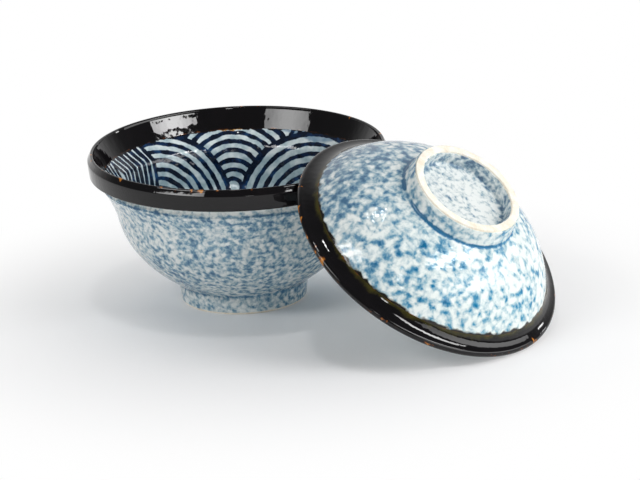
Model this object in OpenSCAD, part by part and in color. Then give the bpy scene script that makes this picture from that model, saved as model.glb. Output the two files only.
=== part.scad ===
// Donburi bowl with its lid: two wheel-thrown stoneware pieces, each a clay body under four coats
// of glaze. The bowl stands on its foot ring, its axis on Z and the table at z = 0. The lid leans
// on the bowl: its rim touches the table once and crosses the bowl's lip twice. All in millimetres.

/* [Bowl] */
// Outer diameter of the rolled rim
bowl_d = 162; // [146:1:180]
// Height from the table to the top of the lip
bowl_h = 84; // [76:1:94]
// Height of the rolled band round the outside of the rim
band_h = 11.8; // [9:0.1:15]
// How far the band stands out over the neck below it
band_step = 2.6; // [1.6:0.1:3.6]
// How much the band narrows from its widest place down to its lower edge
band_draft = 0.6; // [0.2:0.1:1.2]
// Rounding of the band's lower edge
band_edge = 0.8; // [0.4:0.1:1.2]
// Thickness of the lip at its top
lip_t = 3.4; // [2.6:0.1:4.6]
// How far the lower edge of the inner iron band lies inside the rim's outer edge
throat_step = 8.7; // [7.2:0.1:10.5]
// Height of the inner iron band, from the lip down
inner_band_h = 11.2; // [9:0.1:14]
// How far the shoulder below that band lies inside the rim's outer edge
shoulder_step = 15.6; // [13:0.1:18]
// Depth of the shoulder below the lip
shoulder_drop = 19.2; // [16:0.1:22]
// Rounding of the shoulder
shoulder_round = 2.4; // [1:0.1:4]
// Height of the neck between the band and the crease below it
neck_h = 5; // [3.5:0.1:7]
// Width of the crease that was cut under the neck
crease_w = 1.4; // [0.8:0.1:2]
// Depth of that crease
crease_deep = 0.5; // [0.2:0.1:0.8]
// Thickness of the wall at the waist
bowl_wall = 4.6; // [3.6:0.1:6]
// Thickness of the bottom over the foot's recess
base_t = 7; // [5:0.1:9]

/* [Foot ring] */
// Outer diameter where it meets the table
foot_d = 68; // [60:1:76]
// How much wider the foot is at its top
foot_flare = 2.2; // [0.8:0.1:3.4]
// Height of the foot on its outside
foot_h = 10.2; // [8:0.1:12]
// Thickness of the ring at the table
foot_wall = 5; // [4:0.1:6.5]
// Depth of the recess inside the ring
foot_recess = 6.6; // [5:0.1:8]

/* [Lid] */
// Gap all round between the lid's rim and the mouth it drops into
seat_gap = 1.1; // [0.8:0.1:2]
// Height of the lid from its rim to the top of the knob ring
lid_h = 47.5; // [43:0.5:53]
// Thickness of the rounded outer edge
bead_d = 3.8; // [3:0.1:4.6]
// Width of the hollowed flange, from the outer edge in to the dome
flange_w = 8.6; // [7:0.1:10.5]
// Height at which the dome leaves the flange
flange_rise = 8.4; // [7:0.1:10]
// Width of the iron band on the underside
under_band_w = 12; // [9.5:0.1:15]
// Height of the underside at that band's inner edge
under_rise = 4.8; // [3.8:0.1:5.8]
// Thickness of the crown under the knob's recess
crown_t = 4.4; // [3.5:0.1:5.6]

/* [Knob ring] */
// Outer diameter at its top
knob_d = 62; // [54:1:70]
// How much wider the ring is where it meets the dome
knob_flare = 2.4; // [0.8:0.1:3.6]
// Height of the ring on its outside
knob_h = 10.4; // [8.5:0.1:12]
// Thickness of the ring at its top
knob_wall = 5.4; // [4.4:0.1:6.6]
// Depth of the recess inside the ring
knob_recess = 8.2; // [6.5:0.1:9.8]

/* [Glaze] */
// Thickness of the mottled, painted and plain coats
glaze_t = 0.6; // [0.4:0.05:0.8]
// Thickness of the iron coat on both rims
iron_t = 0.9; // [0.6:0.05:1.2]
// Height that was wiped bare above the foot's edge and below the knob's edge
bare_h = 1.2; // [0.8:0.1:1.8]
// Rounding of the bare edges
bare_edge = 0.4; // [0.2:0.1:0.6]

/* [Lean] */
// Direction from the bowl to the leaning lid, seen from above
lean_azimuth = -38; // [-60:1:60]
// How far up its own rim the lid crosses the bowl's lip, as a share of its radius
lean_share = 0.88; // [0.8:0.01:0.94]
// Clearance between the lid and the lip that it leans on
lean_gap = 0.3; // [0.2:0.05:0.6]

/* [Hidden] */
$fn = 120;

clay = "#EDE3D0";
mottled = "#8FB0C4";
iron = "#1B1719";
painted = "#2C4F7C";
plain = "#B9CBD0";

// Steps in each curved stretch of an outline
curve_steps = 12;
corner_steps = 4;

// Outline points as shares of the rim's radius and the bowl's height
waist_shares = [0.815, 0.571];
flare_pull_shares = [0.841, 0.685];
belly_pull_shares = [0.758, 0.321];
inner_flare_pull_shares = [0.775, 0.658];
inner_belly_pull_shares = [0.696, 0.31];
inner_floor_pull_share = 0.42;
// The neck's hollow, as shares of the step out to the band and of the neck's height
neck_foot_share = 1.65;
neck_pull_shares = [1.4, 0.2];
// Outline points as shares of the lid's radius and height
dome_pull_shares = [0.752, 0.579];
crown_pull_share = 0.314;
inner_dome_pull_shares = [0.706, 0.505];
// The flange's hollow, as shares of its width and of its rise
flange_pull_shares = [0.68, 0.55];
under_pull_shares = [0.58, 0.13];
// Fillets at the roots of both rings and in the corners of both recesses
fillet = foot_recess / 5;
// Where the bead's curve hands over to the flange's hollow
bead_end = 75;

rim_r = bowl_d / 2;
foot_r = foot_d / 2;
foot_top_r = foot_r + foot_flare / 2;
lid_r = rim_r - lip_t - seat_gap;
bead_r = bead_d / 2;
knob_r = knob_d / 2;
knob_root_r = knob_r + knob_flare / 2;
knob_root_z = lid_h - knob_h;
waist = [waist_shares[0] * rim_r, waist_shares[1] * bowl_h];
band_z = bowl_h - band_h;
neck_out = (1 + neck_foot_share) * band_step;
neck_foot_r = rim_r - neck_out;
crease_z = band_z - neck_h;
lip_slope = atan((throat_step - lip_t) / (inner_band_h - lip_t / 2));

// Curves through a start, one or two pulls and an end
function bend(a, b, c, n) = [for (i = [0:n]) let (t = i / n)
    (1 - t) * (1 - t) * a + 2 * t * (1 - t) * b + t * t * c];
function sweep(a, b, c, d, n) = [for (i = [0:n]) let (t = i / n)
    pow(1 - t, 3) * a + 3 * t * pow(1 - t, 2) * b + 3 * t * t * (1 - t) * c + pow(t, 3) * d];
function arc(c, r, from, to, n) = [for (i = [0:n]) let (a = from + (to - from) * i / n)
    c + r * [cos(a), sin(a)]];
// A list without its last point, to join stretches that share one
function but_last(p) = [for (i = [0:len(p) - 2]) p[i]];
function backwards(p) = [for (i = [len(p) - 1:-1:0]) p[i]];
function part_of(p, from, to) = [for (i = [from:to]) p[i]];

// The clay lies to the left of every outline. inset() moves each point that way by its own depth.
function left_of(a, b) = let (d = (b - a) / norm(b - a)) [-d[1], d[0]];
function corner_normal(p, i) =
    let (last = len(p) - 1,
         before = i == 0 ? left_of(p[0], p[1]) : left_of(p[i - 1], p[i]),
         after = i == last ? left_of(p[last - 1], p[last]) : left_of(p[i], p[i + 1]))
    (before + after) / (1 + before * after);
function inset(p, depths) = [for (i = [0:len(p) - 1]) let (n = corner_normal(p, i))
    p[i][0] == 0 ? [0, p[i][1] + depths[i] * sign(n[1])] : p[i] + depths[i] * n];

// Outside of the bowl, from the foot's bare edge up to the band
bowl_outside = concat(
    [[foot_r, bare_h]],
    but_last(bend([foot_top_r, foot_h - fillet / 2], [foot_top_r, foot_h + fillet / 4],
                  [foot_top_r + fillet, foot_h + fillet], corner_steps)),
    but_last(bend([foot_top_r + fillet, foot_h + fillet],
                  [belly_pull_shares[0] * rim_r, belly_pull_shares[1] * bowl_h],
                  waist, curve_steps)),
    but_last(bend(waist, [flare_pull_shares[0] * rim_r, flare_pull_shares[1] * bowl_h],
                  [neck_foot_r, crease_z - crease_w / 2], curve_steps)),
    [[neck_foot_r, crease_z - crease_w / 2], [neck_foot_r - crease_deep, crease_z]],
    bend([neck_foot_r, crease_z + crease_w / 2],
         [rim_r - neck_pull_shares[0] * neck_out, band_z - neck_pull_shares[1] * neck_h],
         [rim_r - band_step, band_z], curve_steps));

// The rolled rim: under the band, round the lip and down the inner iron band
bowl_rim = concat(
    but_last(bend([rim_r - band_draft - band_edge, band_z], [rim_r - band_draft, band_z],
                  [rim_r - band_draft, band_z + band_edge], corner_steps)),
    but_last(bend([rim_r - band_draft, band_z + band_edge], [rim_r, band_z + band_h / 2],
                  [rim_r, bowl_h - lip_t / 2], curve_steps)),
    arc([rim_r - lip_t / 2, bowl_h - lip_t / 2], lip_t / 2, 0, 180 - lip_slope, curve_steps),
    [[rim_r - throat_step, bowl_h - inner_band_h]]);

// Inside of the bowl, from the inner band over the shoulder down to the middle of the floor
floor_z = foot_recess + base_t;
inner_waist = [waist[0] - bowl_wall, waist[1]];
shoulder = [rim_r - shoulder_step, bowl_h - shoulder_drop];
inner_flare_pull = [inner_flare_pull_shares[0] * rim_r, inner_flare_pull_shares[1] * bowl_h];
inner_band_end = [rim_r - throat_step, bowl_h - inner_band_h];
function toward(a, b, d) = a + d * (b - a) / norm(b - a);
shoulder_out = toward(shoulder, inner_flare_pull, shoulder_round);
bowl_inside = concat(
    [inner_band_end],
    but_last(bend(toward(shoulder, inner_band_end, shoulder_round), shoulder, shoulder_out,
                  corner_steps)),
    but_last(bend(shoulder_out, inner_flare_pull, inner_waist, curve_steps)),
    sweep(inner_waist,
          [inner_belly_pull_shares[0] * rim_r, inner_belly_pull_shares[1] * bowl_h],
          [inner_floor_pull_share * rim_r, floor_z], [0, floor_z], curve_steps));

bowl_skin = concat(bowl_outside, bowl_rim, part_of(bowl_inside, 1, len(bowl_inside) - 1));
rim_from = len(bowl_outside) - 1;
rim_to = rim_from + len(bowl_rim);
bowl_depths = [for (i = [0:len(bowl_skin) - 1]) i > rim_from && i < rim_to ? iron_t : glaze_t];
bowl_core = inset(bowl_skin, bowl_depths);

// The recess under the foot, from its middle out and down to the bare edge
recess_r = foot_r - foot_wall;
bowl_recess = concat(
    [[0, foot_recess]],
    bend([recess_r - fillet, foot_recess], [recess_r, foot_recess],
         [recess_r, foot_recess - fillet], corner_steps),
    [[recess_r, bare_h]]);
recess_core = inset(bowl_recess, [for (p = bowl_recess) glaze_t]);

// Inside and rim of the lid in its own place, rim down: crown, underside, bead and flange
under_r = lid_r - under_band_w;
crown_z = lid_h - knob_recess - crown_t;
lid_inside = sweep([0, crown_z], [crown_pull_share * lid_r, crown_z],
                   [inner_dome_pull_shares[0] * lid_r, inner_dome_pull_shares[1] * lid_h],
                   [under_r, under_rise], curve_steps);
bead_c = [lid_r - bead_r, bead_r];
flange_end = [lid_r - flange_w, flange_rise];
bead_top = bead_c + bead_r * [cos(bead_end), sin(bead_end)];
lid_rim = concat(
    but_last(bend([under_r, under_rise],
                  [under_r + under_pull_shares[0] * under_band_w, under_pull_shares[1] * under_rise],
                  [bead_c[0], 0], curve_steps)),
    but_last(arc(bead_c, bead_r, -90, bead_end, curve_steps)),
    bend(bead_top, [lid_r - flange_pull_shares[0] * flange_w, flange_pull_shares[1] * flange_rise],
         flange_end, curve_steps));
lid_outside = concat(
    but_last(bend(flange_end, [dome_pull_shares[0] * lid_r, dome_pull_shares[1] * lid_h],
                  [knob_root_r + fillet, knob_root_z - fillet / 3], curve_steps)),
    bend([knob_root_r + fillet, knob_root_z - fillet / 3], [knob_root_r, knob_root_z],
         [knob_root_r, knob_root_z + fillet], corner_steps),
    [[knob_r, lid_h - bare_h]]);
lid_skin = concat(lid_inside, part_of(lid_rim, 1, len(lid_rim) - 1),
                  part_of(lid_outside, 1, len(lid_outside) - 1));
lid_rim_from = len(lid_inside) - 1;
lid_rim_to = lid_rim_from + len(lid_rim) - 1;
lid_depths = [for (i = [0:len(lid_skin) - 1])
    i > lid_rim_from && i < lid_rim_to ? iron_t : glaze_t];
lid_core = inset(lid_skin, lid_depths);

// The recess inside the knob ring, from its bare edge down and in to the middle
well_r = knob_r - knob_wall;
well_z = lid_h - knob_recess;
lid_well = concat(
    [[well_r, lid_h - bare_h]],
    bend([well_r, well_z + fillet], [well_r, well_z], [well_r - fillet, well_z], corner_steps),
    [[0, well_z]]);
well_core = inset(lid_well, [for (p = lid_well) glaze_t]);

// Where the lid leans. Both rims are taken as rings of round section: the lid's ring lies on the
// table at its lowest point and passes over the lip's ring where lean_share says.
lip_c = [rim_r - lip_t / 2, bowl_h - lip_t / 2];
touch = lip_t / 2 + bead_r + lean_gap;
function lean_tilt(rise) = asin((lip_c[1] + rise - bead_r) / (bead_c[0] * (1 + lean_share)));
function lean_out(tilt) = bead_c[0] * cos(tilt) * lean_share
    + sqrt(pow(lip_c[0], 2) - pow(bead_c[0], 2) * (1 - pow(lean_share, 2)));
// The rings cross aslant, so the lid rises a little more than the touching distance
function crossing_rise(tilt) =
    let (half_chord = bead_c[0] * sqrt(1 - pow(lean_share, 2)),
         lip_a = asin(half_chord / lip_c[0]),
         along_lip = [-sin(lip_a), cos(lip_a), 0],
         along_lid = [cos(tilt) * sqrt(1 - pow(lean_share, 2)), lean_share,
                      -sin(tilt) * sqrt(1 - pow(lean_share, 2))],
         across = cross(along_lip, along_lid))
    touch * norm(across) / abs(across[2]);
tilt = lean_tilt(crossing_rise(lean_tilt(touch)));
lid_place = [lean_out(tilt), 0, bead_c[0] * sin(tilt) + bead_r];

module lean()
    rotate([0, 0, lean_azimuth])
    translate(lid_place)
    rotate([0, tilt, 0])
    translate([0, 0, -bead_r])
    children();

// One turned ring of glaze between an outline and its inset, over a stretch of both
module coat(skin, core, from, to)
    rotate_extrude()
    polygon(concat(part_of(skin, from, to), backwards(part_of(core, from, to))));

module bowl_clay_body() color(clay)
    rotate_extrude()
    polygon(concat(
        recess_core,
        [[recess_r + glaze_t, bare_edge], [recess_r + glaze_t + bare_edge, 0],
         [foot_r - glaze_t - bare_edge, 0], [foot_r - glaze_t, bare_edge]],
        bowl_core));

module bowl_mottled_glaze() color(mottled)
    coat(bowl_skin, bowl_core, 0, rim_from);

module bowl_iron_rim() color(iron)
    coat(bowl_skin, bowl_core, rim_from, rim_to);

module bowl_painted_glaze() color(painted)
    coat(bowl_skin, bowl_core, rim_to, len(bowl_skin) - 1);

module bowl_foot_recess_glaze() color(plain)
    coat(bowl_recess, recess_core, 0, len(bowl_recess) - 1);

module lid_clay_body() color(clay)
    lean()
    rotate_extrude()
    polygon(concat(
        lid_core,
        [[knob_r - glaze_t, lid_h - bare_edge], [knob_r - glaze_t - bare_edge, lid_h],
         [well_r + glaze_t + bare_edge, lid_h], [well_r + glaze_t, lid_h - bare_edge]],
        well_core));

module lid_mottled_glaze() color(mottled)
    lean()
    coat(lid_skin, lid_core, lid_rim_to, len(lid_skin) - 1);

module lid_iron_rim() color(iron)
    lean()
    coat(lid_skin, lid_core, lid_rim_from, lid_rim_to);

module lid_inner_glaze() color(plain)
    lean()
    coat(lid_skin, lid_core, 0, lid_rim_from);

module lid_knob_recess_glaze() color(mottled)
    lean()
    coat(lid_well, well_core, 0, len(lid_well) - 1);

bowl_clay_body();
bowl_mottled_glaze();
bowl_iron_rim();
bowl_painted_glaze();
bowl_foot_recess_glaze();
lid_clay_body();
lid_mottled_glaze();
lid_iron_rim();
lid_inner_glaze();
lid_knob_recess_glaze();
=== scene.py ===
import math

import bpy
from mathutils import Matrix, Vector, noise


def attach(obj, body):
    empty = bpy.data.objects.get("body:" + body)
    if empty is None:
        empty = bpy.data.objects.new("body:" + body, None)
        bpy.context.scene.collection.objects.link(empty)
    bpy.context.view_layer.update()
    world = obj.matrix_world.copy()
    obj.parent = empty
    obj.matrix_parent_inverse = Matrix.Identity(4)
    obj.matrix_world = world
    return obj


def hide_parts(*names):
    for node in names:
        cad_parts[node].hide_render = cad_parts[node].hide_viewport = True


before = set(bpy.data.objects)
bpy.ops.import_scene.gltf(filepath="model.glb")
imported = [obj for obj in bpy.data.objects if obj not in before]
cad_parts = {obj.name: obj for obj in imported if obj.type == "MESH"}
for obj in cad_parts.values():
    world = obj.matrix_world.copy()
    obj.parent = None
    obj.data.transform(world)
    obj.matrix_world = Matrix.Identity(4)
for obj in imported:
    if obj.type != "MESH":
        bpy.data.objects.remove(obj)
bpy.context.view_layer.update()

# Bowl: the clay body
# Thrown and turned from a pale stoneware clay, then fired. Only the foot ring's edge stays bare,
# where the glaze was wiped off so that the bowl doesn't stick to the kiln shelf.
MM = 0.001
RIM_R, BOWL_H = 81.0, 84.0
BAND_H, BAND_STEP, BAND_DRAFT, BAND_EDGE = 11.8, 2.6, 0.6, 0.8
LIP_T, CREST_IN, CREST_DOWN, THROAT_STEP, INNER_BAND_H = 3.4, 2.1, 3.6, 8.7, 11.2
FACET_IN, FACET_DOWN_SHARES = (0.2, 1.25), (0.82, 0.27)
SHOULDER, SHOULDER_ROUND = Vector((RIM_R - 15.6, BOWL_H - 19.2)), 2.4
NECK_H, NECK_OUT, CREASE_W, CREASE_DEEP = 5.0, 6.89, 1.4, 0.5
FOOT_R, FOOT_FLARE, FOOT_H, FOOT_WALL, FOOT_RECESS = 34.0, 2.2, 10.2, 5.0, 6.6
WALL_T, FLOOR_T, FILLET = 4.6, 7.0, 1.32
GLAZE_T, IRON_T, BARE_H, BARE_EDGE = 0.6, 0.9, 1.2, 0.4

# The wall's unevenness: its mean, the swells and throwing rings about it and its least, in mm, the
# radius from which it is full, then how often it swells round and up and how close the rings lie
UNEVEN, UNEVEN_SWELL, UNEVEN_RINGS, UNEVEN_LEAST, UNEVEN_FROM_R = 0.16, 0.16, 0.05, 0.07, 20
SWELL_ROUND, SWELL_TALL, RING_ROUND, RING_ACROSS, RING_TALL = 1.3, 60, 5, 8, 3.2

# Shares of the rim's radius and of the bowl's height
WAIST_SHARES, BELLY_SHARES, UPPER_SHARES = (0.815, 0.571), (0.758, 0.321), (0.841, 0.685)
INNER_SHARES, HOLLOW_SHARES, FLOOR_SHARE = (0.775, 0.658), (0.696, 0.31), 0.42


def bend(a, b, c, steps=16):
    """A curve from a to c that is pulled towards b."""
    a, b, c = (Vector(p) for p in (a, b, c))
    return [(1 - t) ** 2 * a + 2 * t * (1 - t) * b + t * t * c
            for t in (i / steps for i in range(steps + 1))]


def sweep(a, b, c, d, steps=28):
    """A curve from a to d with two pulls."""
    a, b, c, d = (Vector(p) for p in (a, b, c, d))
    return [(1 - t) ** 3 * a + 3 * t * (1 - t) ** 2 * b + 3 * t * t * (1 - t) * c + t ** 3 * d
            for t in (i / steps for i in range(steps + 1))]


def arc(centre, radius, first, last, steps=14):
    """Part of a circle, from one angle to another, in degrees."""
    angles = (math.radians(first + (last - first) * i / steps) for i in range(steps + 1))
    return [Vector(centre) + radius * Vector((math.cos(a), math.sin(a))) for a in angles]


def joined(*stretches):
    """Stretches of an outline one after the other, without doubled points."""
    points = []
    for p in (p for stretch in stretches for p in stretch):
        if not points or (Vector(p) - points[-1]).length > 1e-4:
            points.append(Vector(p))
    return points


def inset(points, depth):
    """The outline moved into the clay, which lies on its left."""
    moved = []
    for i, p in enumerate(points):
        along = (points[min(i + 1, len(points) - 1)] - points[max(i - 1, 0)]).normalized()
        moved.append(Vector((max(p.x - depth * along.y, 0.0), p.y + depth * along.x)))
    return moved


def thrown(angle, r, z):
    """How far the potter's hand left the wall inside its full radius, in mm, never outside it."""
    way = Vector((math.cos(angle), math.sin(angle), 0))
    swell = noise.noise(way * SWELL_ROUND + Vector((0, 0, z / SWELL_TALL)))
    rings = noise.noise(Vector((angle / RING_ROUND, r / RING_ACROSS, z / RING_TALL)))
    uneven = max(UNEVEN + UNEVEN_SWELL * swell + UNEVEN_RINGS * rings, UNEVEN_LEAST)
    return -min(r / UNEVEN_FROM_R, 1) * uneven


def turned(name, outline, marks=(), placed=None, around=320):
    """A closed outline (radius, height) turned about Z. Each point keeps its place on the wheel
    as the attribute "turned", in metres, and its marks, which follow the outline, in mm."""
    verts, faces, rings, row_of = [], [], [], []
    for row, (r, z) in enumerate(outline):
        count = 1 if r < 1e-6 else around
        rings.append(list(range(len(verts), len(verts) + count)))
        for i in range(count):
            a = 2 * math.pi * i / around
            radius = r + thrown(a, r, z)
            verts.append((radius * math.cos(a) * MM, radius * math.sin(a) * MM, z * MM))
            row_of.append(row)
    for low, high in zip(rings, rings[1:] + rings[:1]):
        if len(low) == 1 and len(high) == 1:
            continue
        for i in range(around):
            j = (i + 1) % around
            if len(low) == 1:
                faces.append((low[0], high[j], high[i]))
            elif len(high) == 1:
                faces.append((low[i], low[j], high[0]))
            else:
                faces.append((low[i], low[j], high[j], high[i]))
    mesh = bpy.data.meshes.new(name)
    mesh.from_pydata(verts, [], faces)
    kept = mesh.attributes.new("turned", "FLOAT_VECTOR", "POINT")
    kept.data.foreach_set("vector", [c for v in verts for c in v])
    for mark, values in dict(marks).items():
        kept = mesh.attributes.new(mark, "FLOAT", "POINT")
        kept.data.foreach_set("value", [values[row] for row in row_of])
    for polygon in mesh.polygons:
        polygon.use_smooth = True
    mesh.set_sharp_from_angle(angle=math.radians(38))
    if placed is not None:
        mesh.transform(placed)
    piece = bpy.data.objects.new(name, mesh)
    bpy.context.scene.collection.objects.link(piece)
    return piece


def linear(code):
    """An sRGB hex colour as linear RGBA."""
    parts = [int(code[i:i + 2], 16) / 255 for i in (1, 3, 5)]
    return [c / 12.92 if c <= 0.04045 else ((c + 0.055) / 1.055) ** 2.4 for c in parts] + [1.0]


def add(tree, kind, links=(), **settings):
    """A shader node with its settings, and its inputs linked or set."""
    node = tree.nodes.new("ShaderNode" + kind)
    for setting, value in settings.items():
        if setting == "stops":
            ramp = node.color_ramp
            while len(ramp.elements) < len(value):
                ramp.elements.new(1.0)
            for element, (position, colour) in zip(ramp.elements, value):
                element.position = position
                element.color = linear(colour) if isinstance(colour, str) else [colour] * 3 + [1]
        else:
            setattr(node, setting, value)
    for key, value in dict(links).items():
        if isinstance(value, bpy.types.NodeSocket):
            tree.links.new(value, node.inputs[key])
        else:
            node.inputs[key].default_value = value
    return node


def material(name):
    """A new material with an empty finish."""
    made = bpy.data.materials.new(name)
    made.use_nodes = True
    return made


def dress(made, colour, roughness, height=None, lift=0.0, **sockets):
    """The material's surface: its colour, roughness, a bump of the stated lift, and constants."""
    tree = made.node_tree
    surface = tree.nodes["Principled BSDF"]
    for key, value in sockets.items():
        surface.inputs[key.replace("_", " ")].default_value = value
    for key, value in (("Base Color", colour), ("Roughness", roughness)):
        if isinstance(value, bpy.types.NodeSocket):
            tree.links.new(value, surface.inputs[key])
        else:
            surface.inputs[key].default_value = value
    if height is not None:
        bump = add(tree, "Bump", {"Height": height, "Distance": lift, "Strength": 1.0})
        tree.links.new(bump.outputs[0], surface.inputs["Normal"])


def of_bowl(shares):
    """A point given as shares of the rim's radius and of the bowl's height."""
    return Vector((shares[0] * RIM_R, shares[1] * BOWL_H))


# The skins of the bowl, each an outline with the clay on its left
foot_top = FOOT_R + FOOT_FLARE / 2
waist = of_bowl(WAIST_SHARES)
band_z = BOWL_H - BAND_H
crease_z = band_z - NECK_H
neck_r = RIM_R - NECK_OUT
foot_joint = Vector((foot_top + FILLET / 3, FOOT_H + FILLET / 3))
bowl_outside = joined(
    [(FOOT_R, BARE_H), (FOOT_R + 0.35 * FOOT_FLARE / 2, 0.4 * FOOT_H),
     (FOOT_R + 0.7 * FOOT_FLARE / 2, 0.7 * FOOT_H)],
    bend((foot_top, FOOT_H - FILLET / 2), (foot_top, FOOT_H + FILLET / 4),
         (foot_top + FILLET, FOOT_H + FILLET), 6),
    bend((foot_top + FILLET, FOOT_H + FILLET), of_bowl(BELLY_SHARES), waist, 40),
    bend(waist, of_bowl(UPPER_SHARES), (neck_r, crease_z - CREASE_W / 2), 20),
    bend((neck_r, crease_z - CREASE_W / 2), (neck_r - 2 * CREASE_DEEP, crease_z),
         (neck_r, crease_z + CREASE_W / 2), 6),
    bend((neck_r, crease_z + CREASE_W / 2), (RIM_R - 1.4 * NECK_OUT, band_z - 0.2 * NECK_H),
         (RIM_R - BAND_STEP, band_z), 14))
throat = Vector((RIM_R - THROAT_STEP, BOWL_H - INNER_BAND_H))
lip_slope = math.degrees(math.atan((THROAT_STEP - LIP_T) / (INNER_BAND_H - LIP_T / 2)))
lip_centre = Vector((RIM_R - LIP_T / 2, BOWL_H - LIP_T / 2))
lip_inside = arc(lip_centre, LIP_T / 2, 0, 180 - lip_slope)[-1]
facet_low, facet_high = (Vector((RIM_R - inward, BOWL_H - share * CREST_DOWN))
                         for inward, share in zip(FACET_IN, FACET_DOWN_SHARES))
bowl_rim = joined(
    [(RIM_R - BAND_STEP, band_z)],
    bend((RIM_R - BAND_DRAFT - BAND_EDGE, band_z), (RIM_R - BAND_DRAFT, band_z),
         (RIM_R - BAND_DRAFT, band_z + BAND_EDGE), 6),
    bend((RIM_R - BAND_DRAFT, band_z + BAND_EDGE), (RIM_R, band_z + BAND_H / 2),
         (RIM_R, BOWL_H - CREST_DOWN), 14),
    bend((RIM_R, BOWL_H - CREST_DOWN), (RIM_R, BOWL_H - 0.9 * CREST_DOWN), facet_low, 5),
    bend(facet_low, (facet_low + facet_high) / 2, facet_high, 4),
    bend(facet_high, (RIM_R - 0.8 * CREST_IN, BOWL_H), (RIM_R - CREST_IN, BOWL_H), 8),
    bend((RIM_R - CREST_IN, BOWL_H), (RIM_R - LIP_T + 0.3, BOWL_H), lip_inside, 8),
    bend(lip_inside, (throat + Vector((RIM_R - LIP_T, lip_centre.y))) / 2, throat, 14))
inner_pull = of_bowl(INNER_SHARES)
inner_waist = waist - Vector((WALL_T, 0))
shoulder_in = SHOULDER + SHOULDER_ROUND * (throat - SHOULDER).normalized()
shoulder_out = SHOULDER + SHOULDER_ROUND * (inner_pull - SHOULDER).normalized()
floor_z = FOOT_RECESS + FLOOR_T
bowl_inside = joined(
    bend(throat, (throat + SHOULDER) / 2, shoulder_in, 8),
    bend(shoulder_in, SHOULDER, shoulder_out, 8),
    bend(shoulder_out, inner_pull, inner_waist, 18),
    sweep(inner_waist, of_bowl(HOLLOW_SHARES), (FLOOR_SHARE * RIM_R, floor_z), (0, floor_z), 44))
recess_r = FOOT_R - FOOT_WALL
bowl_recess = joined(
    [(0, FOOT_RECESS), (recess_r / 2, FOOT_RECESS)],
    bend((recess_r - FILLET, FOOT_RECESS), (recess_r, FOOT_RECESS),
         (recess_r, FOOT_RECESS - FILLET), 6),
    [(recess_r, BARE_H)])

bowl_clay = turned("bowl_clay", joined(
    inset(bowl_recess, GLAZE_T),
    [(recess_r + GLAZE_T, BARE_H)],
    bend((recess_r + GLAZE_T, BARE_EDGE), (recess_r + GLAZE_T, 0),
         (recess_r + GLAZE_T + BARE_EDGE, 0), 4),
    bend((FOOT_R - GLAZE_T - BARE_EDGE, 0), (FOOT_R - GLAZE_T, 0), (FOOT_R - GLAZE_T, BARE_EDGE), 4),
    [(FOOT_R - GLAZE_T, BARE_H)],
    inset(bowl_outside, GLAZE_T), inset(bowl_rim, IRON_T), inset(bowl_inside, GLAZE_T)))

# Unglazed fired stoneware: the eye reads a matt cream with fine sand in it
bare_clay = material("fired stoneware clay")
tree = bare_clay.node_tree
place = add(tree, "Attribute", attribute_name="turned").outputs["Vector"]
sand = add(tree, "TexNoise", {"Vector": place, "Scale": 1 / (0.9 * MM), "Detail": 4.0})
toast = add(tree, "TexNoise", {"Vector": place, "Scale": 1 / (7 * MM), "Detail": 2.0})
sandy = add(tree, "Math", {0: sand.outputs[0], 1: 0.6, 2: toast.outputs[0]},
            operation="MULTIPLY_ADD")
clay_colour = add(tree, "ValToRGB", {0: sandy.outputs[0]}, stops=(
    (0.6, "#EADFCB"), (0.78, "#F3ECDD"), (0.95, "#F9F5EB")))
dress(bare_clay, clay_colour.outputs[0], 0.85, sand.outputs[0], 0.06 * MM)
bowl_clay.data.materials.append(bare_clay)
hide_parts("bowl_clay_body")
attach(bowl_clay, "bowl")


# Bowl: the mottled glaze outside
# A pale glaze poured over the outside, and cobalt dabbed on it with a sponge. It runs a little in
# the fire, so it pools blue in the crease and at the foot, and ends ragged against the iron.
def coat(name, skin, depth, measured_from, placed=None):
    """A coat of glaze: its outside, and back along the clay. A mark is the distance in mm along
    the skin from the nearest of its places, far where it has none, or one number all over."""
    lengths = [0.0]
    for p, q in zip(skin, skin[1:]):
        lengths.append(lengths[-1] + (q - p).length)
    marks = {}
    for mark, places in measured_from.items():
        if isinstance(places, float):
            marks[mark] = [places] * (2 * len(skin))
            continue
        starts = [lengths[min(range(len(skin)), key=lambda i: (skin[i] - Vector(p)).length)]
                  for p in places]
        values = [min((abs(run - start) for start in starts), default=99.0) for run in lengths]
        marks[mark] = values + values[::-1]
    return turned(name, list(skin) + inset(skin, depth)[::-1], marks, placed)


# Under the iron band the glaze is painted paler: partly its own paler neck, partly painted light
# against the shade under the band
bowl_mottled = coat("bowl_mottled_coat", bowl_outside, GLAZE_T, {
    "from_iron": [bowl_outside[-1]], "from_bare": [bowl_outside[0]],
    "from_hollow": [foot_joint, (neck_r - CREASE_DEEP, crease_z)],
    "dabs_a_metre": 1 / (2.6 * MM), "cobalt": -0.02, "cobalt_fade": 0.0,
    "cobalt_on_ring": -0.02, "cobalt_by_iron": -0.34, "pooling": 0.12, "bleed": 1.8,
    "blueness": 0.9, "blueness_rise": 0.0})

# Glossy glaze with cobalt dabs about 3 mm across, deep in a hollow, paler by the iron: partly painted
# light
mottled_glaze = material("sponged blue glaze")
tree = mottled_glaze.node_tree
place = add(tree, "Attribute", attribute_name="turned").outputs["Vector"]
fineness = add(tree, "Attribute", attribute_name="dabs_a_metre").outputs["Fac"]
wet = add(tree, "VectorMath", {0: place, "Scale": fineness}, operation="SCALE").outputs[0]
drift = add(tree, "TexNoise", {"Vector": wet, "Scale": 0.45, "Detail": 2.0}).outputs["Color"]
run = add(tree, "VectorMath", {0: drift, 1: (0.8,) * 3, 2: wet}, operation="MULTIPLY_ADD").outputs[0]
dabs = add(tree, "TexNoise", {"Vector": run, "Scale": 1.0, "Detail": 2.0, "Roughness": 0.5}).outputs[0]
cells = add(tree, "TexVoronoi", {"Vector": run, "Scale": 0.9, "Smoothness": 0.7},
            feature="SMOOTH_F1").outputs["Distance"]
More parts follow.
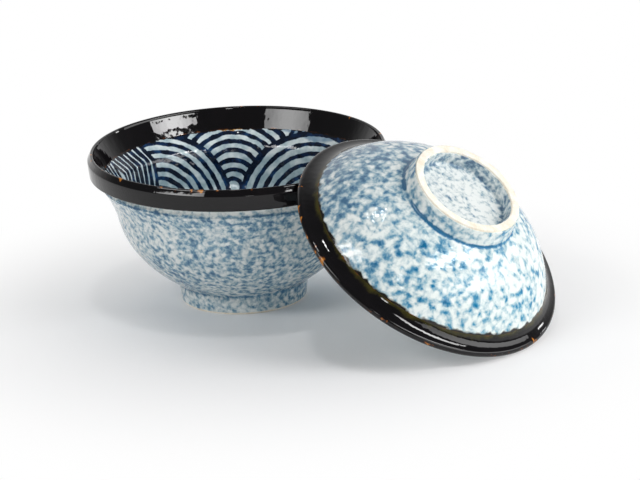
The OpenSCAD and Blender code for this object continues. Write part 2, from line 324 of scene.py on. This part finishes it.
sponge = add(tree, "TexNoise", {"Vector": wet, "Scale": 0.12, "Detail": 1.0}).outputs[0]
celled = add(tree, "Math", {0: cells, 1: 0.28, 2: dabs}, operation="MULTIPLY_ADD").outputs[0]
sponged = add(tree, "Math", {0: sponge, 1: 0.3, 2: celled}, operation="MULTIPLY_ADD").outputs[0]
hollow = add(tree, "Attribute", attribute_name="from_hollow").outputs["Fac"]
pooling = add(tree, "Attribute", attribute_name="pooling").outputs["Fac"]
pooled = add(tree, "MapRange", {"Value": hollow, "From Min": 0.3, "From Max": 1.5, "To Min": pooling,
                                "To Max": 0.0}).outputs[0]
bare_near = add(tree, "Attribute", attribute_name="from_bare").outputs["Fac"]
on_ring = add(tree, "Attribute", attribute_name="cobalt_on_ring").outputs["Fac"]
ringed = add(tree, "MapRange", {"Value": bare_near, "From Min": 8.0, "From Max": 11.0,
                                "To Min": on_ring, "To Max": 0.0}).outputs[0]
iron_near = add(tree, "Attribute", attribute_name="from_iron").outputs["Fac"]
# Paler near the iron: partly the glaze's own colour, partly painted light that offsets the shade under
# the bowl's band
by_iron = add(tree, "Attribute", attribute_name="cobalt_by_iron").outputs["Fac"]
paled_and_lit_near_iron = add(tree, "MapRange", {"Value": iron_near, "From Min": 4.0, "From Max": 9.0,
                                 "To Min": by_iron, "To Max": 0.0}).outputs[0]
cobalt = add(tree, "Attribute", attribute_name="cobalt").outputs["Fac"]
# On the lid the colour turns paler along its own x, towards the low side that faces the lamps: painted
# light
fade = add(tree, "Attribute", attribute_name="cobalt_fade").outputs["Fac"]
side = add(tree, "SeparateXYZ", {0: place}).outputs[0]
cobalt_and_lit_side = add(tree, "Math", {0: side, 1: fade, 2: cobalt}, operation="MULTIPLY_ADD").outputs[0]
tone = sponged
for more in (cobalt_and_lit_side, pooled, ringed, paled_and_lit_near_iron):
    tone = add(tree, "Math", {0: tone, 1: more}, operation="ADD").outputs[0]
mottle = add(tree, "ValToRGB", {0: tone}, stops=(
    (0.58, "#E6ECEA"), (0.70, "#C9D6D8"), (0.79, "#9DB9C5"), (0.88, "#6391AC"),
    (1.00, "#34688E"))).outputs[0]
bleed = add(tree, "Attribute", attribute_name="bleed").outputs["Fac"]
scallops = add(tree, "TexNoise", {"Vector": place, "Scale": 1 / (5 * MM), "Detail": 1.5}).outputs[0]
ragged = add(tree, "MapRange", {"Value": scallops, "From Min": 0.3, "From Max": 0.75}).outputs[0]
reached = add(tree, "Math", {0: ragged, 1: bleed}, operation="MULTIPLY").outputs[0]
clear_of = add(tree, "Math", {0: iron_near, 1: reached}, operation="SUBTRACT").outputs[0]
stained = add(tree, "MapRange", {"Value": clear_of, "From Min": -0.7, "From Max": 0.45,
                                 "To Min": 1.0, "To Max": 0.0}).outputs[0]
stain = add(tree, "ValToRGB", {0: stained}, stops=(
    (0.0, "#6E6A45"), (0.5, "#3A3416"), (1.0, "#16120B"))).outputs[0]
blueness = add(tree, "Attribute", attribute_name="blueness").outputs["Fac"]
blueness_rise = add(tree, "Attribute", attribute_name="blueness_rise").outputs["Fac"]
# Bluer towards the lid's low side and greyer towards its top: painted light
bluer = add(tree, "Math", {0: side, 1: blueness_rise, 2: blueness},
            operation="MULTIPLY_ADD").outputs[0]
mottle = add(tree, "HueSaturation", {"Saturation": bluer, "Color": mottle}).outputs[0]
glaze_colour = add(tree, "Mix", {0: stained, 6: mottle, 7: stain},
                   data_type="RGBA").outputs[2]
laid_flat = add(tree, "VectorMath", {0: wet, 1: (0.8, 0.8, 2.0)}, operation="MULTIPLY").outputs[0]
crawl = add(tree, "TexNoise", {"Vector": laid_flat, "Scale": 1.0, "Detail": 2.0}).outputs[0]
dress(mottled_glaze, glaze_colour, 0.09, crawl, 0.3 * MM, IOR=1.5)
bowl_mottled.data.materials.append(mottled_glaze)
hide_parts("bowl_mottled_glaze")
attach(bowl_mottled, "bowl")

# Bowl: the iron rim
# The rolled rim was dipped in an iron glaze, over the lip and down the inside. It fires to a
# glossy near-black and breaks to amber where it runs thin over an edge.
bowl_iron = coat("bowl_iron_coat", bowl_rim, IRON_T, {
    "from_crest": [(lip_centre.x, BOWL_H)], "from_edge": [bowl_rim[0], bowl_rim[-1]],
    "more_amber": 0.0, "olive_edge": 0.0})

# Iron-saturated glaze: mirror-like near-black, amber specks on the crest, a thin amber edge
iron_glaze = material("black iron glaze")
tree = iron_glaze.node_tree
place = add(tree, "Attribute", attribute_name="turned").outputs["Vector"]
cloud = add(tree, "TexNoise", {"Vector": place, "Scale": 1 / (9 * MM), "Detail": 3.0}).outputs[0]
body = add(tree, "ValToRGB", {0: cloud}, stops=(
    (0.3, "#040305"), (0.6, "#080609"), (0.8, "#0E090B"))).outputs[0]
drawn_down = add(tree, "VectorMath", {0: place, 1: (1.0, 1.0, 0.45)}, operation="MULTIPLY")
ripple = add(tree, "TexNoise", {"Vector": drawn_down.outputs[0], "Scale": 1 / (3.2 * MM),
                                "Detail": 1.0}).outputs[0]
specks = add(tree, "TexNoise", {"Vector": place, "Scale": 1 / (4.6 * MM), "Detail": 1.5}).outputs[0]
crest = add(tree, "Attribute", attribute_name="from_crest").outputs["Fac"]
off_crest = add(tree, "Math", {0: crest, 1: -0.045, 2: specks}, operation="MULTIPLY_ADD").outputs[0]
more_amber = add(tree, "Attribute", attribute_name="more_amber").outputs["Fac"]
off_crest = add(tree, "Math", {0: off_crest, 1: more_amber}, operation="ADD").outputs[0]
broken = add(tree, "MapRange", {"Value": off_crest, "From Min": 0.575, "From Max": 0.66}).outputs[0]
edge = add(tree, "Attribute", attribute_name="from_edge").outputs["Fac"]
off_edge = add(tree, "Math", {0: specks, 1: -3.0, 2: edge}, operation="MULTIPLY_ADD").outputs[0]
thin = add(tree, "MapRange", {"Value": off_edge, "From Min": -1.5, "From Max": -1.0,
                              "To Min": 0.7, "To Max": 0.0}).outputs[0]
patchy = add(tree, "MapRange", {"Value": cloud, "From Min": 0.42, "From Max": 0.6}).outputs[0]
thin = add(tree, "Math", {0: thin, 1: patchy}, operation="MULTIPLY").outputs[0]
amber = add(tree, "Math", {0: broken, 1: thin}, operation="MAXIMUM").outputs[0]
amber_colour = add(tree, "ValToRGB", {0: amber}, stops=(
    (0.0, "#2A150A"), (0.6, "#6E3A12"), (1.0, "#B87628"))).outputs[0]
olive_far = add(tree, "Math", {0: cloud, 1: -9.0, 2: edge}, operation="MULTIPLY_ADD").outputs[0]
olive_most = add(tree, "Attribute", attribute_name="olive_edge").outputs["Fac"]
olive = add(tree, "MapRange", {"Value": olive_far, "From Min": -4.5, "From Max": -2.0,
                               "To Min": olive_most, "To Max": 0.0}).outputs[0]
greenish = add(tree, "Mix", {0: olive, 6: body, 7: linear("#3E3A12")}, data_type="RGBA").outputs[2]
iron_colour = add(tree, "Mix", {0: amber, 6: greenish, 7: amber_colour},
                  data_type="RGBA").outputs[2]
dress(iron_glaze, iron_colour, 0.04, ripple, 0.07 * MM, IOR=1.5, Specular_IOR_Level=0.38)
bowl_iron.data.materials.append(iron_glaze)
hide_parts("bowl_iron_rim")
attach(bowl_iron, "bowl")

# Bowl: the painted inside
# Cobalt brushwork on a pale ground under a clear glaze: waves of nested rings, row over row, and
# fields of nested angles. Each wave covers what was painted before it.
bowl_painted = coat("bowl_painted_coat", bowl_inside, GLAZE_T, {"down": [throat]})

# The radius at which the wall is unrolled, a line's width, and half the width of its soft edge
DRAWN_R, LINE, SOFT = 66.0, 2.35, 0.25

# Nested lines: mm aside for each mm above the knee and below it, and how far that holds, in mm
ASIDE_ABOVE, ASIDE_BELOW, ABOVE_KNEE, BELOW_KNEE = 0.38, 0.12, 40, 100

# Brushed lines 1.7 to 3 mm wide that waver and swell, dark navy where the brush was full
painted_glaze = material("cobalt brushwork under clear glaze")
tree = painted_glaze.node_tree
place = add(tree, "Attribute", attribute_name="turned").outputs["Vector"]
waver = add(tree, "TexNoise", {"Vector": place, "Scale": 1 / (9 * MM), "Detail": 3.0,
                               "Roughness": 0.6})
load = add(tree, "TexNoise", {"Vector": place, "Scale": 1 / (6 * MM), "Detail": 3.0}).outputs[0]
half_line = add(tree, "MapRange", {"Value": load, "From Min": 0.3, "From Max": 0.7,
                                   "To Min": 0.36 * LINE, "To Max": 0.64 * LINE}).outputs[0]
own = add(tree, "SeparateXYZ", {0: place})
turn = add(tree, "Math", {0: own.outputs[0], 1: own.outputs[1]}, operation="ARCTAN2").outputs[0]
across = add(tree, "Math", {0: turn, 1: DRAWN_R}, operation="MULTIPLY").outputs[0]
down = add(tree, "Attribute", attribute_name="down").outputs["Fac"]
drawn = add(tree, "VectorMath", {0: waver.outputs["Color"], 1: (2.0, 2.0, 0), 2: (-1.0, -1.0, 0)},
            operation="MULTIPLY_ADD").outputs[0]
solid = add(tree, "VectorMath", {0: place, "Scale": 1 / MM}, operation="SCALE").outputs[0]
solid = add(tree, "VectorMath", {0: solid, 1: drawn}, operation="ADD").outputs[0]


def painted_over(under, inward, lines, spacing, border, bolder=0.0):
    """Lines at a steady spacing inward of a border line, on top of what is under them."""
    inward = add(tree, "Math", {0: inward, 1: (lines - 0.5) * spacing}, operation="MINIMUM").outputs[0]
    near = add(tree, "Math", {0: inward, 1: spacing / 2}, operation="PINGPONG").outputs[0]
    within = add(tree, "Math", {0: half_line, 1: near}, operation="SUBTRACT").outputs[0]
    line = add(tree, "MapRange", {"Value": within, "From Min": -SOFT - bolder,
                                  "From Max": SOFT - bolder}).outputs[0]
    rim = add(tree, "MapRange", {"Value": inward, "From Min": -SOFT, "From Max": SOFT,
                                 "To Min": 1.0, "To Max": 0.0}).outputs[0]
    ink = add(tree, "Math", {0: line, 1: rim}, operation="MAXIMUM").outputs[0]
    covers = add(tree, "MapRange", {"Value": inward, "From Min": -border - SOFT,
                                    "From Max": -border}).outputs[0]
    change = add(tree, "Math", {0: ink, 1: under}, operation="SUBTRACT").outputs[0]
    return add(tree, "Math", {0: change, 1: covers, 2: under}, operation="MULTIPLY_ADD").outputs[0]


def wall_place(u):
    """The place on the wall, unrolled: mm round from u and mm down from the iron."""
    half_round = math.pi * DRAWN_R
    near_u = add(tree, "Math", {0: across, 1: u + half_round, 2: u - half_round}, operation="WRAP")
    flat = add(tree, "CombineXYZ", {0: near_u.outputs[0], 1: down}).outputs[0]
    return add(tree, "VectorMath", {0: flat, 1: drawn}, operation="ADD").outputs[0]


def wave(under, centre, reach, lines, spacing, border):
    """A wave drawn on the wall about a centre given in mm round and mm down."""
    away = add(tree, "VectorMath", {0: wall_place(centre[0]), 1: (*centre, 0)},
               operation="DISTANCE").outputs["Value"]
    inward = add(tree, "Math", {0: reach, 1: away}, operation="SUBTRACT").outputs[0]
    return painted_over(under, inward, lines, spacing, border)


def angles(under, u, knee, reach, lines, spacing=4.15, border=1.2, bolder=0.25):
    """Nested upright lines either side of u, which lean apart down to the knee and in below it."""
    spot = add(tree, "SeparateXYZ", {0: wall_place(u)})
    aside = add(tree, "Math", {0: spot.outputs[0], 1: u}, operation="SUBTRACT").outputs[0]
    aside = add(tree, "Math", {0: aside}, operation="ABSOLUTE").outputs[0]
    above = add(tree, "MapRange", {
        "Value": spot.outputs[1], "From Min": knee - ABOVE_KNEE, "From Max": knee,
        "To Min": ASIDE_ABOVE * ABOVE_KNEE, "To Max": 0.0})
    below = add(tree, "MapRange", {
        "Value": spot.outputs[1], "From Min": knee, "From Max": knee + BELOW_KNEE,
        "To Min": 0.0, "To Max": ASIDE_BELOW * BELOW_KNEE})
    slant = add(tree, "Math", {0: above.outputs[0], 1: below.outputs[0]}, operation="ADD").outputs[0]
    apart = add(tree, "Math", {0: aside, 1: slant}, operation="ADD").outputs[0]
    inward = add(tree, "Math", {0: reach, 1: apart}, operation="SUBTRACT").outputs[0]
    return painted_over(under, inward, lines, spacing, border, bolder)


def disc(under, turn_deg, radius, height, reach, lines, spacing=4.8, border=2.0):
    """A wave drawn low in the bowl about a point on the clay."""
    a = math.radians(turn_deg)
    point = (radius * math.sin(a), radius * math.cos(a), height)
    away = add(tree, "VectorMath", {0: solid, 1: point}, operation="DISTANCE").outputs["Value"]
    inward = add(tree, "Math", {0: reach, 1: away}, operation="SUBTRACT").outputs[0]
    return painted_over(under, inward, lines, spacing, border)


# Painted from the back to the front: angles behind, the top row of waves, the rows under it, the
# two fields of angles, and rings down the hollow to the floor. Each wave has its centre in mm round
# and down, its reach, its number of lines, their spacing and the pale border that it keeps clear.
ink = angles(0.0, u=25.3, knee=0, reach=16.1, lines=4, spacing=4.0, border=1.0, bolder=0.0)
for centre, reach, lines, spacing, border in (
        ((92, 4), 24, 5, 4.6, 1.2),
        ((190, 4), 24, 5, 4.6, 1.2),
        ((246, 4), 24, 5, 4.6, 1.2),
        ((-3, 28.5), 36.2, 5, 4.95, 1.8),
        ((-3.3, 33), 15.2, 3, 5.2, 1.2),
        ((114, 32), 36, 7, 4.9, 2.0),
        ((220, 30), 38, 7, 4.9, 2.0),
        ((-55, 45), 49.4, 9, 5.0, 1.8),
        ((50, 50.6), 49.8, 8, 5.6, 2.2),
        ((183, 44), 44, 8, 5.3, 2.0),
        ((262, 46), 44, 8, 5.2, 2.0)):
    ink = wave(ink, centre, reach, lines, spacing, border)
for u, reach, lines in ((-84, 32.5, 8), (148, 30, 7)):
    ink = angles(ink, u, knee=10.5, reach=reach, lines=lines)
for turn_deg in (20, 92, 164, 236, 308):
    ink = disc(ink, turn_deg, radius=38, height=18, reach=25, lines=5)
for turn_deg in (56, 176, 296):
    ink = disc(ink, turn_deg, radius=17, height=14, reach=18, lines=4)
ink = disc(ink, 0, radius=0, height=14, reach=12.5, lines=3)

ground_noise = add(tree, "TexNoise", {"Vector": place, "Scale": 1 / (5 * MM), "Detail": 3.0}).outputs[0]
# The ground is painted darker down the wall and paler on the upper ledge, which faces up to the light:
# painted shade
deeper_painted_shade = add(tree, "MapRange", {"Value": down, "From Min": 4.0, "From Max": 26.0,
                               "To Min": -0.12, "To Max": 0.12}).outputs[0]
ground_tone = add(tree, "Math", {0: ground_noise, 1: deeper_painted_shade}, operation="ADD").outputs[0]

# A pool of thinned cobalt under the top of one wave
POOL_U = 44.0
off_pool = add(tree, "Math", {0: across, 1: POOL_U}, operation="SUBTRACT").outputs[0]
off_pool = add(tree, "Math", {0: off_pool}, operation="ABSOLUTE").outputs[0]
pool_depth = add(tree, "Math", {0: off_pool, 1: 0.28, 2: down}, operation="MULTIPLY_ADD").outputs[0]
pool_depth = add(tree, "Math", {0: waver.outputs[0], 1: 3.0, 2: pool_depth},
                 operation="MULTIPLY_ADD").outputs[0]
pool_tint = add(tree, "MapRange", {"Value": pool_depth, "From Min": 7.0, "From Max": 8.2,
                                   "To Min": 0.62, "To Max": 0.0}).outputs[0]
ground = add(tree, "ValToRGB", {0: ground_tone}, stops=(
    (0.3, "#DDE7E8"), (0.5, "#B9CBD0"), (0.7, "#94ADB6"))).outputs[0]
full = add(tree, "ValToRGB", {0: load}, stops=(
    (0.3, "#16406A"), (0.4, "#082343"), (0.55, "#031226"))).outputs[0]
halo = add(tree, "MapRange", {"Value": ink, "From Min": 0.0, "From Max": 0.6}).outputs[0]
halo = add(tree, "Math", {0: halo, 1: pool_tint}, operation="MAXIMUM").outputs[0]
washed = add(tree, "Mix", {0: halo, 6: ground, 7: linear("#4F7C9F")}, data_type="RGBA").outputs[2]
core = add(tree, "MapRange", {"Value": ink, "From Min": 0.15, "From Max": 0.7}).outputs[0]
brushed = add(tree, "Mix", {0: core, 6: washed, 7: full}, data_type="RGBA").outputs[2]

# The iron glaze ran down over the painting in small tongues, with amber where it stayed thin
tongues = add(tree, "TexNoise", {"Vector": place, "Scale": 1 / (4 * MM), "Detail": 2.5}).outputs[0]
tongue = add(tree, "MapRange", {"Value": tongues, "From Min": 0.38, "From Max": 0.68,
                                "To Min": 0.0, "To Max": 1.4}).outputs[0]
beyond = add(tree, "Math", {0: down, 1: tongue}, operation="SUBTRACT").outputs[0]
covered = add(tree, "MapRange", {"Value": beyond, "From Min": -0.15, "From Max": 0.15,
                                 "To Min": 1.0, "To Max": 0.0}).outputs[0]
fringe = add(tree, "MapRange", {"Value": beyond, "From Min": -0.6, "From Max": -0.1}).outputs[0]
thin_there = add(tree, "Math", {0: across, 1: -3.0, 2: 6.0}, operation="COMPARE").outputs[0]
fringe = add(tree, "Math", {0: fringe, 1: thin_there}, operation="MULTIPLY").outputs[0]
run_colour = add(tree, "Mix", {0: fringe, 6: linear("#0B090A"), 7: linear("#C08A3A")},
                 data_type="RGBA").outputs[2]
painted_colour = add(tree, "Mix", {0: covered, 6: brushed, 7: run_colour},
                     data_type="RGBA").outputs[2]
crawled = add(tree, "TexNoise", {"Vector": place, "Scale": 1 / (4 * MM), "Detail": 2.0}).outputs[0]
dress(painted_glaze, painted_colour, 0.07, crawled, 0.4 * MM, IOR=1.5)
bowl_painted.data.materials.append(painted_glaze)
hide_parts("bowl_painted_glaze")
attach(bowl_painted, "bowl")

# Bowl: the recess in the foot
# A plain coat of the pale glaze, poured in and out again before the foot's edge was wiped.
foot_plain = coat("foot_recess_coat", bowl_recess, GLAZE_T, {})

# The same glaze without cobalt: pale blue-grey, a little deeper where it is thick
plain_glaze = material("pale blue-grey glaze")
tree = plain_glaze.node_tree
place = add(tree, "Attribute", attribute_name="turned").outputs["Vector"]
pool = add(tree, "TexNoise", {"Vector": place, "Scale": 1 / (14 * MM), "Detail": 3.0}).outputs[0]
plain_colour = add(tree, "ValToRGB", {0: pool}, stops=(
    (0.35, "#B7C9CE"), (0.5, "#C8D5D7"), (0.7, "#D8E1E0")))
dress(plain_glaze, plain_colour.outputs[0], 0.14, pool, 0.25 * MM, IOR=1.5)
foot_plain.data.materials.append(plain_glaze)
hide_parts("bowl_foot_recess_glaze")
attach(foot_plain, "bowl")

# Lid: the clay body
# Thrown upside down as a shallow dish, with its ring knob turned from the thick crown. It leans on
# the bowl: its rim is on the table once and beside the bowl's lip twice, 0.3 mm from it.
BEAD_R = 1.9
LID_R, LID_H, CROWN_T = 76.5, 47.5, 4.4
FLANGE_W, FLANGE_RISE, UNDER_W, UNDER_RISE = 8.6, 8.4, 12.0, 4.8
KNOB_R, KNOB_FLARE, KNOB_H, KNOB_WALL, KNOB_RECESS = 31.0, 2.4, 10.4, 5.4, 8.2

# The lean: its direction and tilt, and how far the middle of the rim is from the bowl's axis and
# above the table, in mm
LEAN_AZIMUTH, LEAN_TILT = math.radians(-38), math.radians(37.0932)
LEAN_OUT, LEAN_Z = 123.308, 46.8923

# Shares of the lid's radius and of its height
CROWN_SHARE, UNDER_SHARES, DOME_SHARES = 0.314, (0.706, 0.505), (0.752, 0.579)
leaning = (Matrix.Rotation(LEAN_AZIMUTH, 4, "Z")
           @ Matrix.Translation((LEAN_OUT * MM, 0, LEAN_Z * MM))
           @ Matrix.Rotation(LEAN_TILT, 4, "Y") @ Matrix.Translation((0, 0, -BEAD_R * MM)))

crown_z = LID_H - KNOB_RECESS - CROWN_T
under_r = LID_R - UNDER_W
knob_root = KNOB_R + KNOB_FLARE / 2
root_z = LID_H - KNOB_H
well_r, well_z = KNOB_R - KNOB_WALL, LID_H - KNOB_RECESS
bead_centre = Vector((LID_R - BEAD_R, BEAD_R))
bead_outside = arc(bead_centre, BEAD_R, -90, 75)
flange_end = Vector((LID_R - FLANGE_W, FLANGE_RISE))
lid_inside = sweep((0, crown_z), (CROWN_SHARE * LID_R, crown_z),
                   (UNDER_SHARES[0] * LID_R, UNDER_SHARES[1] * LID_H), (under_r, UNDER_RISE), 50)
lid_rim = joined(
    bend((under_r, UNDER_RISE), (under_r + 0.58 * UNDER_W, 0.13 * UNDER_RISE), bead_outside[0], 16),
    bead_outside,
    bend(bead_outside[-1], (LID_R - 0.68 * FLANGE_W, 0.55 * FLANGE_RISE), flange_end, 16))
lid_outside = joined(
    bend(flange_end, (DOME_SHARES[0] * LID_R, DOME_SHARES[1] * LID_H),
         (knob_root + FILLET, root_z - FILLET / 3), 44),
    bend((knob_root + FILLET, root_z - FILLET / 3), (knob_root, root_z),
         (knob_root, root_z + FILLET), 6),
    [(KNOB_R + 0.5 * KNOB_FLARE / 2, LID_H - 0.5 * KNOB_H), (KNOB_R, LID_H - BARE_H)])
lid_well = joined(
    [(well_r, LID_H - BARE_H)],
    bend((well_r, well_z + FILLET), (well_r, well_z), (well_r - FILLET, well_z), 6),
    [(well_r / 2, well_z), (0, well_z)])

lid_clay = turned("lid_clay", joined(
    inset(lid_inside, GLAZE_T), inset(lid_rim, IRON_T), inset(lid_outside, GLAZE_T),
    [(KNOB_R - GLAZE_T, LID_H - BARE_H)],
    bend((KNOB_R - GLAZE_T, LID_H - BARE_EDGE), (KNOB_R - GLAZE_T, LID_H),
         (KNOB_R - GLAZE_T - BARE_EDGE, LID_H), 4),
    bend((well_r + GLAZE_T + BARE_EDGE, LID_H), (well_r + GLAZE_T, LID_H),
         (well_r + GLAZE_T, LID_H - BARE_EDGE), 4),
    [(well_r + GLAZE_T, LID_H - BARE_H)],
    inset(lid_well, GLAZE_T)), placed=leaning)
lid_clay.data.materials.append(bare_clay)
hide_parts("lid_clay_body")
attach(lid_clay, "lid")

# Lid: the mottled glaze outside
# The bowl's sponged glaze again, over the dome and up the knob ring, with the same ragged end
# against the iron and the same blue pool at the foot of the ring.
# Its glaze is painted paler and bluer towards the lid's low side, which faces the lamps: painted light
lid_mottled = coat("lid_mottled_coat", lid_outside, GLAZE_T, {
    "from_iron": [flange_end], "from_bare": [lid_outside[-1]],
    "from_hollow": [(knob_root, root_z)],
    "dabs_a_metre": 1 / (3.8 * MM), "cobalt": -0.04, "cobalt_fade": -1.5,
    "cobalt_on_ring": -0.01, "cobalt_by_iron": 0.0, "pooling": 0.34, "bleed": 2.6,
    "blueness": 1.04, "blueness_rise": 5.0}, leaning)
lid_mottled.data.materials.append(mottled_glaze)
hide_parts("lid_mottled_glaze")
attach(lid_mottled, "lid")

# Lid: the recess in the knob
# The sponged glaze once more, inside the ring. Its floor is paler than the dome, with finer dabs,
# and the cobalt is denser up the ring's wall.
knob_recess = coat("knob_recess_coat", lid_well, GLAZE_T, {
    "from_iron": [], "from_bare": [lid_well[0]], "from_hollow": [(well_r, well_z)],
    "dabs_a_metre": 1 / (2.6 * MM), "cobalt": -0.16, "cobalt_fade": 0.0,
    "cobalt_on_ring": 0.15, "cobalt_by_iron": 0.0, "pooling": 0.06, "bleed": 0.0,
    "blueness": 0.72, "blueness_rise": 0.0}, leaning)
knob_recess.data.materials.append(mottled_glaze)
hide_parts("lid_knob_recess_glaze")
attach(knob_recess, "lid")

# Lid: the iron rim
# The bowl's iron glaze over the hollowed flange, the rounded edge and the band under it. It breaks
# to amber on the edge and thins to olive where it ends.
lid_iron = coat("lid_iron_coat", lid_rim, IRON_T, {
    "from_crest": [(LID_R, BEAD_R)], "from_edge": [lid_rim[0], lid_rim[-1]],
    "more_amber": 0.035, "olive_edge": 0.9}, leaning)
lid_iron.data.materials.append(iron_glaze)
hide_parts("lid_iron_rim")
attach(lid_iron, "lid")

# Lid: the plain glaze under the dome
# The pale glaze without cobalt, from the iron band up to the crown. It closes over the food.
lid_plain = coat("lid_inner_coat", lid_inside, GLAZE_T, {}, leaning)
lid_plain.data.materials.append(plain_glaze)
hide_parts("lid_inner_glaze")
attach(lid_plain, "lid")

# The table
# A white sheet under the pair. It keeps their shadow, and fades into the white of the studio.
SHEET_SIZE = 40
SHADOW_MIDDLE, SHADOW_NEAR, SHADOW_FAR = (30 * MM, -50 * MM, 0), 60 * MM, 250 * MM
bpy.ops.mesh.primitive_plane_add(size=SHEET_SIZE, location=(0, 0, 0))
table = bpy.context.object
table.name = "white_sheet"
white_sheet = material("white paper sheet")
tree = white_sheet.node_tree
on_sheet = add(tree, "TexCoord").outputs["Object"]
away = add(tree, "VectorMath", {0: on_sheet, 1: SHADOW_MIDDLE}, operation="DISTANCE").outputs["Value"]
faded = add(tree, "MapRange", {"Value": away, "From Min": SHADOW_NEAR, "From Max": SHADOW_FAR},
            interpolation_type="SMOOTHSTEP").outputs[0]
rays = add(tree, "LightPath")
seen = add(tree, "Math", {0: rays.outputs["Is Camera Ray"], 1: rays.outputs["Is Glossy Ray"]},
           operation="MAXIMUM").outputs[0]
seen = add(tree, "Math", {0: seen, 1: rays.outputs["Is Transmission Ray"]},
           operation="MAXIMUM").outputs[0]
shown = add(tree, "Math", {0: faded, 1: seen}, operation="MULTIPLY").outputs[0]
glow = add(tree, "Emission", {"Color": linear("#FFFFFF"), "Strength": 1.0})
dress(white_sheet, linear("#F8F8F9"), 0.9)
sheet = add(tree, "MixShader", {0: shown, 1: tree.nodes["Principled BSDF"].outputs[0],
                                2: glow.outputs[0]})
tree.links.new(sheet.outputs[0], tree.nodes["Material Output"].inputs[0])
table.data.materials.append(white_sheet)

# Light
# Two long strip boxes in front, the right one the brighter, a wide low panel at the right, a small
# window at the right and one in front, and a small box overhead. Each is brighter halfway along.
# The world is white low all round, pale behind, faint overhead and dim elsewhere.
world = bpy.data.worlds.new("studio")
world.use_nodes = True
tree = world.node_tree
heading = add(tree, "SeparateXYZ", {0: add(tree, "TexCoord").outputs["Generated"]})
behind = add(tree, "MapRange", {"Value": heading.outputs[1], "From Min": 0.3, "From Max": 0.85,
                                "To Min": 0.18, "To Max": 0.85},
             interpolation_type="SMOOTHSTEP").outputs[0]
low_round = add(tree, "MapRange", {"Value": heading.outputs[2], "From Min": 0.03, "From Max": 0.1,
                                   "To Min": 1.0, "To Max": 0.0}).outputs[0]
above = add(tree, "MapRange", {"Value": heading.outputs[2], "From Min": 0.75, "From Max": 0.97,
                               "To Min": 0.0, "To Max": 0.12},
            interpolation_type="SMOOTHSTEP").outputs[0]
sweep_light = add(tree, "Math", {0: behind, 1: low_round}, operation="MAXIMUM").outputs[0]
sweep_light = add(tree, "Math", {0: sweep_light, 1: above}, operation="MAXIMUM").outputs[0]
tree.nodes["Background"].inputs[0].default_value = linear("#FFFFFF")
tree.links.new(sweep_light, tree.nodes["Background"].inputs[1])
bpy.context.scene.world = world

# Each lamp's direction and roll in degrees, its sides in metres and its power in watts
LAMP_AWAY, LAMP_AIM = 1.5, Vector((0, 0.07, 0.08))
for name, azimuth, elevation, roll, long, tall, power in (
        ("right_strip_box", -33, 33, -12, 0.95, 0.15, 7.6),
        ("left_strip_box", -138, 36, 8, 0.9, 0.26, 6.0),
        ("low_panel", -24, 14, 0, 2.1, 0.42, 9.0),
        ("side_window", 20, 10, 0, 0.1, 0.12, 0.5),
        ("front_window", -84, 23, 0, 0.12, 0.12, 0.7),
        ("overhead_box", -95, 77, 0, 0.14, 0.14, 2.2)):
    lamp = bpy.data.lights.new(name, "AREA")
    lamp.shape, lamp.size, lamp.size_y, lamp.energy = "RECTANGLE", long, tall, power
    lamp.use_nodes = True
    tree = lamp.node_tree
    on_lamp = add(tree, "SeparateXYZ", {0: add(tree, "NewGeometry").outputs["Parametric"]})
    off_centre = add(tree, "Math", {0: on_lamp.outputs[0], 1: 0.5}, operation="SUBTRACT").outputs[0]
    off_centre = add(tree, "Math", {0: off_centre}, operation="ABSOLUTE").outputs[0]
    brightness = add(tree, "MapRange", {"Value": off_centre, "From Min": 0.1, "From Max": 0.5,
                                        "To Min": 1.25, "To Max": 0.7})
    tree.links.new(brightness.outputs[0], tree.nodes["Emission"].inputs["Strength"])
    holder = bpy.data.objects.new(name, lamp)
    a, e = math.radians(azimuth), math.radians(elevation)
    outward = Vector((math.cos(a) * math.cos(e), math.sin(a) * math.cos(e), math.sin(e)))
    holder.matrix_world = (Matrix.Translation(outward * LAMP_AWAY + LAMP_AIM)
                           @ outward.to_track_quat("Z", "Y").to_matrix().to_4x4()
                           @ Matrix.Rotation(math.radians(roll), 4, "Z"))
    bpy.context.scene.collection.objects.link(holder)

# Camera
# A long lens from 18 degrees above the table. Its place was fitted to the edges in the photograph.
PHOTO_W, FOCAL_PX, SENSOR_W = 640, 5000, 36
ELEVATION, DISTANCE = math.radians(18.21), 2.7128
YAW, PITCH, ROLL = math.radians(0.94), math.radians(17.62), math.radians(-2.45)
camera = bpy.data.cameras.new("camera")
camera.sensor_width = SENSOR_W
camera.lens = FOCAL_PX * SENSOR_W / PHOTO_W
eye = bpy.data.objects.new("camera", camera)
ahead = Vector((math.sin(YAW) * math.cos(PITCH), math.cos(YAW) * math.cos(PITCH), -math.sin(PITCH)))
right = ahead.cross(Vector((0, 0, 1))).normalized()
up = right.cross(ahead)
right, up = (right * math.cos(ROLL) + up * math.sin(ROLL),
             up * math.cos(ROLL) - right * math.sin(ROLL))
eye.matrix_world = Matrix.Translation(
    (0, -DISTANCE * math.cos(ELEVATION), DISTANCE * math.sin(ELEVATION))) @ Matrix(
    (right, up, -ahead)).transposed().to_4x4()
bpy.context.scene.collection.objects.link(eye)
bpy.context.scene.camera = eye
bpy.context.scene.view_settings.view_transform = "Standard"

bpy.context.view_layer.update()
